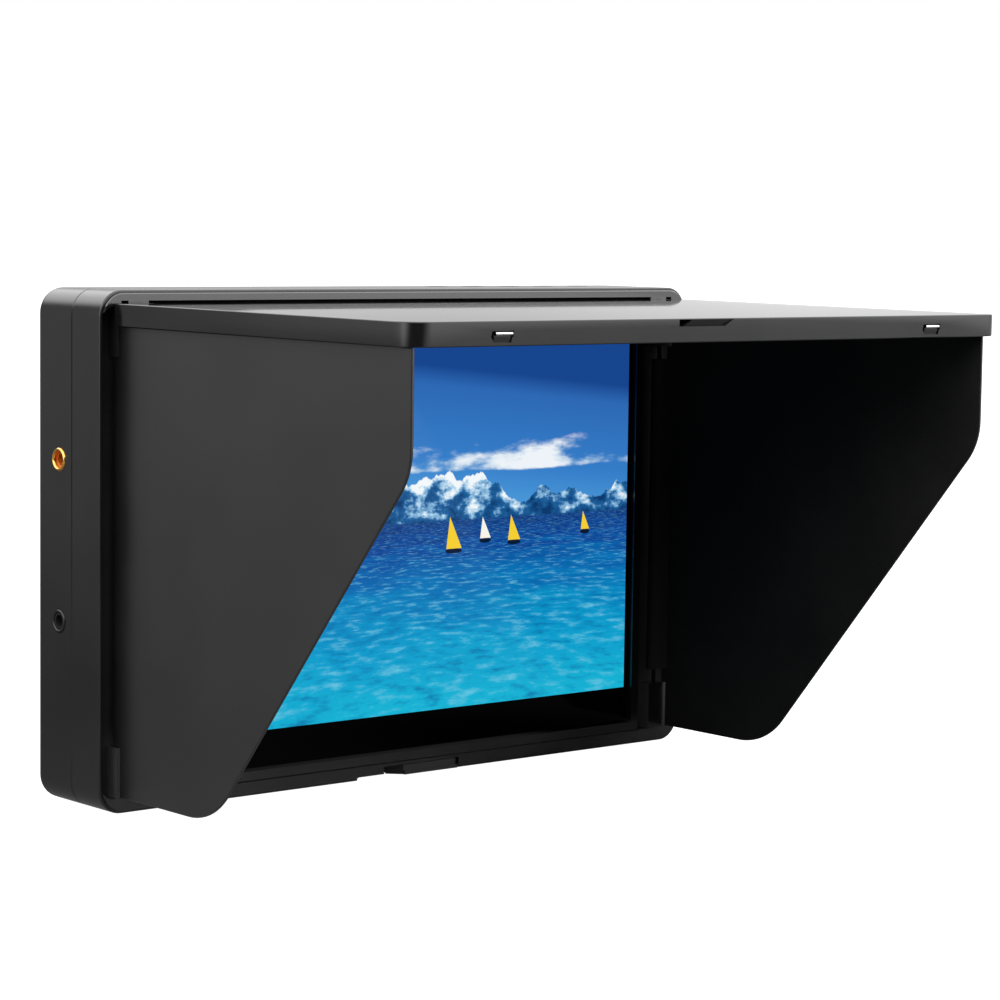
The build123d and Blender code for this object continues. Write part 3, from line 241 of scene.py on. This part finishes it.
# lake: dark under the shore and turquoise near the viewer, with ripples that grow towards it
distance = add_node(tree, MATHS, {0: 1.0, 1: add_node(
    tree, MATHS, {0: horizon + 0.08, 1: up}, operation="SUBTRACT")}, operation="DIVIDE")
ripple_across = add_node(tree, MATHS, {0: add_node(
    tree, MATHS, {0: across, 1: 0.5}, operation="SUBTRACT"), 1: distance}, operation="MULTIPLY")
ripple_at = add_node(tree, "ShaderNodeCombineXYZ",
                     {"X": add_node(tree, MATHS, {0: ripple_across, 1: 7.0},
                                    operation="MULTIPLY"),
                      "Y": add_node(tree, MATHS, {0: distance, 1: 9.0}, operation="MULTIPLY")})
ripples = add_node(tree, "ShaderNodeTexNoise",
                   {"Vector": ripple_at, "Scale": 1.0, "Detail": 5.0, "Roughness": 0.62},
                   noise_dimensions="2D")
swell = add_node(tree, "ShaderNodeTexNoise",
                 {"Vector": ripple_at, "Scale": 0.22, "Detail": 3.0, "Roughness": 0.5},
                 noise_dimensions="2D")
water_turn = add_node(tree, MATHS, {0: swell, 1: 0.16, 2: up}, operation="MULTIPLY_ADD")
water = add_node(tree, "ShaderNodeValToRGB", {"Fac": water_turn},
                 stops=[(0.08, "#17b2d4"), (0.28, "#0d9acb"), (0.42, "#0a72b6"),
                        (0.52, "#0a4699"), (0.6, "#0a2c74")])
glint = add_node(tree, "ShaderNodeMapRange",
                 {"Value": ripples, "From Min": 0.54, "From Max": 0.76, "To Max": 0.6})
water = add_node(tree, "ShaderNodeMix",
                 {0: glint, 6: water.outputs[0], 7: colour("#7fd3ea")}, data_type="RGBA")
shade = add_node(tree, "ShaderNodeMapRange",
                 {"Value": ripples, "From Min": 0.47, "From Max": 0.26, "To Max": 0.65})
water = add_node(tree, "ShaderNodeMix",
                 {0: shade, 6: water.outputs[2], 7: colour("#0a5c9c")}, data_type="RGBA")
above = add_node(tree, "ShaderNodeMapRange",
                 {"Value": up, "From Min": horizon - 0.002, "From Max": horizon + 0.002})
picture = add_node(tree, "ShaderNodeMix",
                   {0: above, 6: water.outputs[2], 7: land.outputs[2]}, data_type="RGBA")
hull_depth = 0.006
# small sailing boats: place across and up, height, half width, colour of the sail
for boat_across, boat_up, tall, wide, code in (
        (0.60, 0.425, 0.085, 0.017, "#f4cf32"), (0.67, 0.447, 0.058, 0.012, "#f7f4ea"),
        (0.735, 0.437, 0.068, 0.014, "#f4cf32"),
        (0.90, 0.452, 0.05, 0.01, "#f4cf32")):
    rise = add_node(tree, "ShaderNodeMapRange",
                    {"Value": up, "From Min": boat_up, "From Max": boat_up + tall, "To Min": wide,
                     "To Max": 0.0}, clamp=False)
    lean = add_node(tree, MATHS, {0: rise, 1: 0.55, 2: boat_across - 0.5 * wide},
                    operation="MULTIPLY_ADD")
    off = add_node(tree, MATHS, {0: add_node(
        tree, MATHS, {0: across, 1: lean}, operation="SUBTRACT")}, operation="ABSOLUTE")
    sail = add_node(tree, MATHS, {0: add_node(
        tree, MATHS, {0: rise, 1: off}, operation="GREATER_THAN"), 1: add_node(
        tree, MATHS, {0: up, 1: boat_up}, operation="GREATER_THAN")}, operation="MULTIPLY")
    hull_up = add_node(tree, MATHS, {0: add_node(
        tree, MATHS, {0: up, 1: boat_up - hull_depth}, operation="SUBTRACT"), 1: wide / hull_depth},
        operation="MULTIPLY")
    hull_across = add_node(tree, MATHS, {0: across, 1: boat_across}, operation="SUBTRACT")
    hull_far = add_node(tree, MATHS, {0: add_node(
        tree, MATHS, {0: hull_up, 1: hull_up}, operation="MULTIPLY"), 1: add_node(
        tree, MATHS, {0: hull_across, 1: hull_across}, operation="MULTIPLY")}, operation="ADD")
    hull = add_node(tree, MATHS, {0: hull_far, 1: wide * wide * 1.2}, operation="LESS_THAN")
    picture = add_node(tree, "ShaderNodeMix",
                       {0: hull, 6: picture.outputs[2], 7: colour("#081a34")}, data_type="RGBA")
    picture = add_node(tree, "ShaderNodeMix",
                       {0: sail, 6: picture.outputs[2], 7: colour(code)}, data_type="RGBA")
# the picture stops at the black border
inside = add_node(tree, MATHS, {0: at.outputs["Z"], 1: picture_low * MM},
                  operation="GREATER_THAN")
for axis, limit in (("Z", picture_high), ("X", picture_right)):
    within = add_node(tree, MATHS, {0: at.outputs[axis], 1: limit * MM}, operation="LESS_THAN")
    inside = add_node(tree, MATHS, {0: inside, 1: within}, operation="MULTIPLY")
lit = add_node(tree, "ShaderNodeMix",
               {0: inside, 6: colour("#000000"), 7: picture.outputs[2]}, data_type="RGBA")
tree.links.new(lit.outputs[2], shader.inputs["Emission Color"])
shader.inputs["Emission Strength"].default_value = 1.0
shader.inputs["Base Color"].default_value = colour("#020203")
smears = add_node(tree, "ShaderNodeTexNoise",
                  {"Vector": place, "Scale": 1 / (22 * MM), "Detail": 5.0})
rough = add_node(tree, "ShaderNodeMapRange",
                 {"Value": smears, "From Min": 0.35, "From Max": 0.7, "To Min": 0.03,
                  "To Max": 0.08})
tree.links.new(rough.outputs["Result"], shader.inputs["Roughness"])
shader.inputs["IOR"].default_value = 1.5
shader.inputs["Specular IOR Level"].default_value = 0.1

by_slot = {
    "shell_black": shell_abs, "hood_black": frame_abs, "lid_black": lid_abs,
    "flap_black": flap_abs, "catch_black": catch_acetal, "button_black": button_abs,
    "cover_glass": screen_glass, "screen": panel_film, "diffuser_white": diffuser,
    "foam_black": foam, "sheet_steel": zinc, "board_green": board_mask,
    "chip_black": chip_epoxy, "screw_steel": zinc, "screw_black": black_oxide,
    "ribbon_amber": ribbon_film, "jack_yellow": jack_resin, "jack_brass": gold,
    "jack_black": nylon, "socket_steel": tin, "insert_steel": steel, "insert_brass": brass,
    "contact_brass": contact_gold, "pin_steel": pin_steel, "pin_black": black_oxide,
}
slot_of = {part["node"]: part["material_slot"] for part in frame["record"]["subparts"]}
for name, node in nodes.items():
    node.material_slots[0].material = by_slot[slot_of[name]]

nodes["cover_glass"].visible_diffuse = False

# ------------------------------------------------------ hood pieces with a dark lining, painted shade and painted light


def lined(name, body, finish_of, extra=()):
    """Copy of a piece; finish_of gives each face 0, its own finish, 1, the lining paint that also
    serves as painted shade, or 2, extra.
    """
    mesh = nodes[name].data.copy()
    mesh.name = name + "_lined"
    mesh.materials.clear()
    mesh.materials.append(by_slot[slot_of[name]])
    mesh.materials.append(lining_and_shade_paint)
    for finish in extra:
        mesh.materials.append(finish)
    shape = bmesh.new()
    shape.from_mesh(mesh)
    bmesh.ops.remove_doubles(shape, verts=shape.verts, dist=0.0005 * MM)
    for face in shape.faces:
        face.material_index = int(finish_of(face.calc_center_median() / MM, face.normal))
    shape.to_mesh(mesh)
    shape.free()
    if "custom_normal" in mesh.attributes:
        mesh.attributes.remove(mesh.attributes["custom_normal"])
    mesh.shade_smooth()
    mesh.set_sharp_from_angle(angle=math.radians(25))
    piece = bpy.data.objects.new(name + "_lined", mesh)
    bpy.context.scene.collection.objects.link(piece)
    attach(piece, body)
    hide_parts(name)


flap_inner = 108.1  # X of the flap's inner face
flap_front = -160.0  # faces in front of this are the flap's front edge
lid_top_low = 147.4  # the lid's upper face lies above this
lid_side_inner, lid_side_outer = 109.0, 112.7  # X of the inner faces of the lid's side lips
lip_hole_front, lip_hole_back = -160.6, -156.0  # Y of the holes in the front lip
lip_hole_low, lip_hole_high = 142.0, 147.2  # and their Z
channel_inner = 96.3  # X where the flap channels start
slot_low, slot_high = 147.2, 149.3  # Z of the slot over the lid
groove_low, groove_high = 4.3, 4.9  # Z of the line across the bottom rail
upper_lugs_low = 128  # the upper lugs lie above this


def flap_inside(side):
    """Test for the faces of a flap that look into the hood, and its barrel and web."""
    return lambda middle, normal: (side * middle.x < flap_inner - 0.02
                                   or (normal.x * side < -0.5 and middle.y > flap_front))


def lid_inside(middle, normal):
    """2 for the lid's top, 1 for its underside and the inside of its lip (lining) and for its holes
    (painted shade), 0 for the rest.
    """
    if normal.z > 0.9 and middle.z > lid_top_low:
        return 2
    # painted shade in the holes of the front lip
    if (lip_hole_front < middle.y < lip_hole_back and lip_hole_low < middle.z < lip_hole_high
            and abs(middle.x) < 100):
        return 1
    return middle.z < 147.6 and (normal.z < -0.7 and middle.z > 142.5
                                 or normal.y > 0.7 and middle.y < -150
                                 or abs(normal.x) > 0.7
                                 and lid_side_inner < abs(middle.x) < lid_side_outer
                                 and middle.x * normal.x < 0)


def channel_inside(middle, normal):
    """1 for the channels, the groove, the slot over the lid and the upper lugs, painted shade; 2
    for the lower lugs' sides, painted light.
    """
    # painted shade in the slot over the lid
    if middle.y > FRONT + 0.3 and slot_low < middle.z < slot_high:
        return 1
    # painted shade along the groove across the bottom rail
    if FRONT + 0.02 < middle.y < FRONT + 0.5 and groove_low < middle.z < groove_high:
        return 1
    if abs(middle.x) < channel_inner - 0.4 or not 4.7 < middle.z < 147.5:
        return 0
    # painted shade on the upper lugs, under the lid
    if middle.y > FRONT + 0.1 and middle.z > upper_lugs_low:
        return 1
    # painted light on the lower lugs' sides
    if normal.x < -0.9 and (-110 < middle.x < -108 or 101 < middle.x < 102):
        return 2
    # painted shade on the channels' floor and inner walls
    return middle.y > FRONT + 5.5 or middle.y > FRONT + 0.35 and abs(middle.x) < channel_inner + 0.2


lined("left_flap", "left_flap", flap_inside(-1))
lined("right_flap", "right_flap", flap_inside(1))
lined("lid", "lid", lid_inside, extra=[lid_top_abs])
lined("hood_frame", "monitor", channel_inside, extra=[painted_light_lug_abs])

# ------------------------------------------------------------------ repeated details


def repeated(name, body, tree, keys, values, material, place):
    """Plain mesh of what a node tree repeats, put in its place and set to ride on a body."""
    bearer = bpy.data.objects.new(name + "_bearer", bpy.data.meshes.new(name + "_bearer"))
    bpy.context.scene.collection.objects.link(bearer)
    modifier = bearer.modifiers.new(name, "NODES")
    modifier.node_group = tree
    for label, value in values.items():
        modifier[keys[label]] = value
    modifier[keys["Material"]] = material
    bearer.update_tag()
    graph = bpy.context.evaluated_depsgraph_get()
    mesh = bpy.data.meshes.new_from_object(bearer.evaluated_get(graph))
    mesh.name = name
    mesh.transform(place)
    bpy.data.objects.remove(bearer)
    piece = bpy.data.objects.new(name, mesh)
    bpy.context.scene.collection.objects.link(piece)
    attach(piece, body)


def started_tree(name, inputs):
    """Geometry tree with named inputs, and the identifier of each."""
    tree = bpy.data.node_groups.new(name, "GeometryNodeTree")
    tree.interface.new_socket("Geometry", in_out="OUTPUT", socket_type="NodeSocketGeometry")
    keys = {}
    for label, kind in inputs.items():
        keys[label] = tree.interface.new_socket(label, in_out="INPUT",
                                                socket_type="NodeSocket" + kind).identifier
    return tree, keys, add_node(tree, "NodeGroupInput").outputs


def finished_tree(tree, shape, given):
    """Realizes the instances, gives them their material and ends the tree."""
    plain = add_node(tree, "GeometryNodeRealizeInstances", {"Geometry": shape})
    smooth = add_node(tree, "GeometryNodeSetShadeSmooth", {"Geometry": plain})
    painted = add_node(tree, "GeometryNodeSetMaterial",
                       {"Geometry": smooth, "Material": given["Material"]})
    add_node(tree, "NodeGroupOutput", {"Geometry": painted})


# helical ridge along +Z, repeated on a square grid of places
threads, thread_keys, given = started_tree(
    "Screw_threads", {"Pitch": "Float", "Radius": "Float", "Ridge": "Float", "Turns": "Float",
                      "Spacing": "Float", "Per side": "Int", "Material": "Material"})
rise = add_node(threads, MATHS, {0: given["Pitch"], 1: given["Turns"]}, operation="MULTIPLY")
helix = add_node(threads, "GeometryNodeCurveSpiral",
                 {"Resolution": 28, "Rotations": given["Turns"], "Start Radius": given["Radius"],
                  "End Radius": given["Radius"], "Height": rise})
section = add_node(threads, "GeometryNodeCurvePrimitiveCircle",
                   {"Resolution": 6, "Radius": given["Ridge"]})
ridge_mesh = add_node(threads, "GeometryNodeCurveToMesh",
                      {"Curve": helix, "Profile Curve": section, "Fill Caps": True})
spots = add_node(threads, "GeometryNodeMeshGrid",
                 {"Size X": given["Spacing"], "Size Y": given["Spacing"],
                  "Vertices X": given["Per side"], "Vertices Y": given["Per side"]})
finished_tree(threads, add_node(threads, "GeometryNodeInstanceOnPoints",
                                {"Points": spots, "Instance": ridge_mesh}), given)

# two rows of small bars on either side of a tongue, half a pitch apart
contacts, contact_keys, given = started_tree(
    "Contact_rows", {"Pitch": "Float", "Count": "Int", "Bar": "Vector", "Rows apart": "Float",
                     "Sockets apart": "Float", "Material": "Material"})
step = add_node(contacts, "ShaderNodeCombineXYZ", {"Z": given["Pitch"]})
row = add_node(contacts, "GeometryNodeMeshLine", {"Count": given["Count"], "Offset": step},
               mode="OFFSET")
bar = add_node(contacts, "GeometryNodeMeshCube", {"Size": given["Bar"]})
bars = add_node(contacts, "GeometryNodeInstanceOnPoints", {"Points": row, "Instance": bar})
half_step = add_node(contacts, MATHS, {0: given["Pitch"], 1: 0.5}, operation="MULTIPLY")
shift = add_node(contacts, "ShaderNodeCombineXYZ", {"Y": given["Rows apart"], "Z": half_step})
other_bars = add_node(contacts, "GeometryNodeTransform", {"Geometry": bars, "Translation": shift})
both_rows = add_node(contacts, "GeometryNodeJoinGeometry")
contacts.links.new(bars.outputs[0], both_rows.inputs[0])
contacts.links.new(other_bars.outputs[0], both_rows.inputs[0])
next_socket = add_node(contacts, "ShaderNodeCombineXYZ", {"Z": given["Sockets apart"]})
sockets = add_node(contacts, "GeometryNodeMeshLine", {"Count": 2, "Offset": next_socket},
                   mode="OFFSET")
finished_tree(contacts, add_node(contacts, "GeometryNodeInstanceOnPoints",
                                 {"Points": sockets, "Instance": both_rows}), given)

# rounded ring in the XY plane
rings, ring_keys, given = started_tree(
    "Rounded_rings", {"Radius": "Float", "Bead": "Float", "Material": "Material"})
loop = add_node(rings, "GeometryNodeCurvePrimitiveCircle",
                {"Resolution": 64, "Radius": given["Radius"]})
section = add_node(rings, "GeometryNodeCurvePrimitiveCircle",
                   {"Resolution": 16, "Radius": given["Bead"]})
finished_tree(rings, add_node(rings, "GeometryNodeCurveToMesh",
                              {"Curve": loop, "Profile Curve": section}), given)

video_low, video_apart = 70.0, 26.0  # Z of the lower video socket, and to the upper one
av_jack_up, headphone_jack_up = 102.3, 54.7  # Z of the two jacks
arm_plate_pitch, arm_plate_up = 75.0, 76.15  # spacing of the back's threads, Z of their middle
flat_to_side = Matrix.Rotation(math.radians(90), 4, "Y")
repeated("Tripod_thread_ridge", "monitor", threads, thread_keys,
         {"Pitch": 1.27 * MM, "Radius": 3.2 * MM, "Ridge": 0.38 * MM, "Turns": 5.8,
          "Spacing": 0.0, "Per side": 1}, steel, Matrix.Translation((0, 0, 0.4 * MM)))
repeated("Arm_plate_thread_ridges", "monitor", threads, thread_keys,
         {"Pitch": 0.7 * MM, "Radius": 2.02 * MM, "Ridge": 0.22 * MM, "Turns": 7.6,
          "Spacing": arm_plate_pitch * MM, "Per side": 2}, brass,
         Matrix.Translation((0, 10.4 * MM, arm_plate_up * MM))
         @ Matrix.Rotation(math.radians(90), 4, "X"))
repeated("Video_contacts", "monitor", contacts, contact_keys,
         {"Pitch": 1.1 * MM, "Count": 10, "Bar": (6.0 * MM, 0.22 * MM, 0.45 * MM),
          "Rows apart": 1.2 * MM, "Sockets apart": video_apart * MM}, contact_gold,
         Matrix.Translation(((SIDE - 6.4) * MM, (SOCKETS - 0.6) * MM, (video_low - 5.2) * MM)))
repeated("Video_tongues", "monitor", contacts, contact_keys,
         {"Pitch": 0.0, "Count": 1, "Bar": (7.0 * MM, 0.6 * MM, 11.8 * MM), "Rows apart": 0.4 * MM,
          "Sockets apart": video_apart * MM}, nylon,
         Matrix.Translation(((SIDE - 6.1) * MM, (SOCKETS - 0.2) * MM, video_low * MM)))
repeated("AV_jack_bead", "monitor", rings, ring_keys,
         {"Radius": 2.95 * MM, "Bead": 0.5 * MM}, gold,
         Matrix.Translation((-SIDE * MM, SOCKETS * MM, av_jack_up * MM)) @ flat_to_side)
repeated("Headphone_jack_bead", "monitor", rings, ring_keys,
         {"Radius": 3.0 * MM, "Bead": 0.36 * MM}, button_abs,
         Matrix.Translation((-SIDE * MM, SOCKETS * MM, headphone_jack_up * MM)) @ flat_to_side)
lined("headphone_jack", "monitor", lambda middle, normal: True)

# ------------------------------------------------------------------ floor and light

scene = bpy.context.scene
scene.view_settings.view_transform = "Standard"

# Light tent: soft white walls with a brighter lamp on either side of a dark gap where the
# camera stands. Azimuths are measured from +X towards +Y, in degrees.
world = bpy.data.worlds.new("Light_tent")
scene.world = world
world.use_nodes = True
tree = world.node_tree
tree.nodes.clear()
way = add_node(tree, "ShaderNodeTexCoord").outputs["Generated"]
way_parts = add_node(tree, "ShaderNodeSeparateXYZ", {"Vector": way})
azimuth = add_node(tree, MATHS, {0: way_parts.outputs["Y"], 1: way_parts.outputs["X"]},
                   operation="ARCTAN2")
round_turn = add_node(tree, MATHS, {0: azimuth, 1: 1 / math.tau, 2: 0.5},
                      operation="MULTIPLY_ADD")
brightest = 4.0
wall_levels = ((-180, 3.2), (-174, 3.2), (-162, 1.8), (-150, 0.3), (-142, 0.03), (-96, 0.03),
               (-86, 0.35), (-72, 1.3), (-56, 2.6), (-35, 2.6), (-15, 0.9), (20, 0.9), (44, 0.95),
               (50, 0.72), (60, 0.72), (90, 0.25), (119, 0.22), (124, 0.35), (130, 0.95),
               (148, 1.4), (164, 1.8), (174, 2.8), (180, 3.2))
walls = add_node(tree, "ShaderNodeValToRGB", {"Fac": round_turn},
                 stops=[(angle / 360 + 0.5, light / brightest) for angle, light in wall_levels])
walls = add_node(tree, MATHS, {0: walls, 1: brightest}, operation="MULTIPLY")
ceiling = add_node(tree, "ShaderNodeMapRange",
                   {"Value": way_parts.outputs["Z"], "From Min": 0.28, "From Max": 0.5},
                   interpolation_type="SMOOTHSTEP")
tent_level = add_node(tree, "ShaderNodeMix", {0: ceiling, 2: walls, 3: 3.0}, data_type="FLOAT")
tent = add_node(tree, "ShaderNodeBackground",
                {"Color": colour("#ffffff"), "Strength": tent_level.outputs[0]})
backdrop = add_node(tree, "ShaderNodeBackground", {"Color": colour("#ffffff"), "Strength": 1.0})
seen = add_node(tree, "ShaderNodeLightPath").outputs["Is Camera Ray"]
both = add_node(tree, "ShaderNodeMixShader", {0: seen, 1: tent, 2: backdrop})
add_node(tree, "ShaderNodeOutputWorld", {"Surface": both})

# White paper floor; away from the lens's own view it gives back less light, a glow with painted
# shade
floor_material, tree, shader, place = new_material("White_paper_floor")
shader.inputs["Base Color"].default_value = colour("#868686")
shader.inputs["Roughness"].default_value = 0.9
shader.inputs["Specular IOR Level"].default_value = 0.0
shader.inputs["Emission Color"].default_value = colour("#ffffff")
shader.inputs["Emission Strength"].default_value = 1.0
# painted shadow: the paper's glow is darker under the hood and close to it
hood_shadow = (70 * MM, -60 * MM, 0.0)
under = add_node(tree, "ShaderNodeVectorMath", {0: place, 1: hood_shadow},
                 operation="SUBTRACT")
out = add_node(tree, "ShaderNodeVectorMath", {0: under}, operation="LENGTH")
far = add_node(tree, MATHS, {0: out.outputs["Value"], 1: 1 / 3}, operation="MULTIPLY")
paper = add_node(tree, "ShaderNodeValToRGB", {"Fac": far},
                 stops=[(0.008, 0.0), (0.02, 0.1), (0.045, 0.24), (0.12, 0.4), (0.33, 0.65),
                        (1.0, 1.0)])
# painted shade: the glow is darker behind the monitor
behind = add_node(tree, "ShaderNodeMapRange",
                  {"Value": add_node(tree, "ShaderNodeSeparateXYZ", {"Vector": place}).outputs["Y"],
                   "From Min": -0.1, "From Max": 0.15, "To Min": 1.0, "To Max": 0.4})
# painted shade: and the glow is darker where the camera stands
far_off = add_node(tree, "ShaderNodeVectorMath", {0: place}, operation="LENGTH")
at_least = add_node(tree, MATHS, {0: far_off.outputs["Value"], 1: 0.6}, operation="MAXIMUM")
shrink = add_node(tree, MATHS, {0: 1.0, 1: at_least}, operation="DIVIDE")
outward = add_node(tree, "ShaderNodeVectorMath", {0: place, "Scale": shrink}, operation="SCALE")
toward = add_node(tree, "ShaderNodeVectorMath", {0: outward, 1: (-0.61, -0.79, 0.0)},
                  operation="DOT_PRODUCT")
unlit = add_node(tree, "ShaderNodeMapRange",
                 {"Value": toward.outputs["Value"], "From Min": 0.72, "From Max": 0.9,
                  "To Min": 1.0, "To Max": 0.05})
strength = add_node(tree, MATHS, {0: behind, 1: unlit}, operation="MULTIPLY")
dim = add_node(tree, "ShaderNodeEmission", {"Color": paper, "Strength": strength})
seen = add_node(tree, "ShaderNodeLightPath").outputs["Is Camera Ray"]
both = add_node(tree, "ShaderNodeMixShader", {0: seen, 1: dim, 2: shader})
add_node(tree, "ShaderNodeOutputMaterial", {"Surface": both}, is_active_output=True)
floor_mesh = bpy.data.meshes.new("Floor")
half, height = 6.0, -0.0002  # half the floor's width, and its Z just under the base, metres
floor_mesh.from_pydata([(-half, -half, height), (half, -half, height), (half, half, height),
                        (-half, half, height)], [], [(0, 1, 2, 3)])
floor_mesh.materials.append(floor_material)
floor = bpy.data.objects.new("Floor", floor_mesh)
scene.collection.objects.link(floor)

# ------------------------------------------------------------------------- camera

yaw, pitch, roll = 0.7011103584, 0.0917330272, -0.0137049643  # radians
camera_place = Vector((-578.362, -750.684, 172.290)) * MM
sensor_width = 36.0  # mm
focal_share = 2990.037 / 1000  # focal length over the picture's width
level = Vector((math.sin(yaw), math.cos(yaw), 0))
right = Vector((math.cos(yaw), -math.sin(yaw), 0))
down = Vector((0, 0, -1))
ahead = level * math.cos(pitch) + down * math.sin(pitch)
below = down * math.cos(pitch) - level * math.sin(pitch)
camera_right = right * math.cos(roll) + below * math.sin(roll)
camera_down = below * math.cos(roll) - right * math.sin(roll)
camera_data = bpy.data.cameras.new("Camera")
camera_data.sensor_width = sensor_width
camera_data.lens = focal_share * sensor_width
camera_data.clip_start = 0.01
camera_data.clip_end = 100
camera = bpy.data.objects.new("Camera", camera_data)
turn = Matrix((camera_right, -camera_down, -ahead)).transposed().to_4x4()
camera.matrix_world = Matrix.Translation(camera_place) @ turn
scene.collection.objects.link(camera)
scene.camera = camera
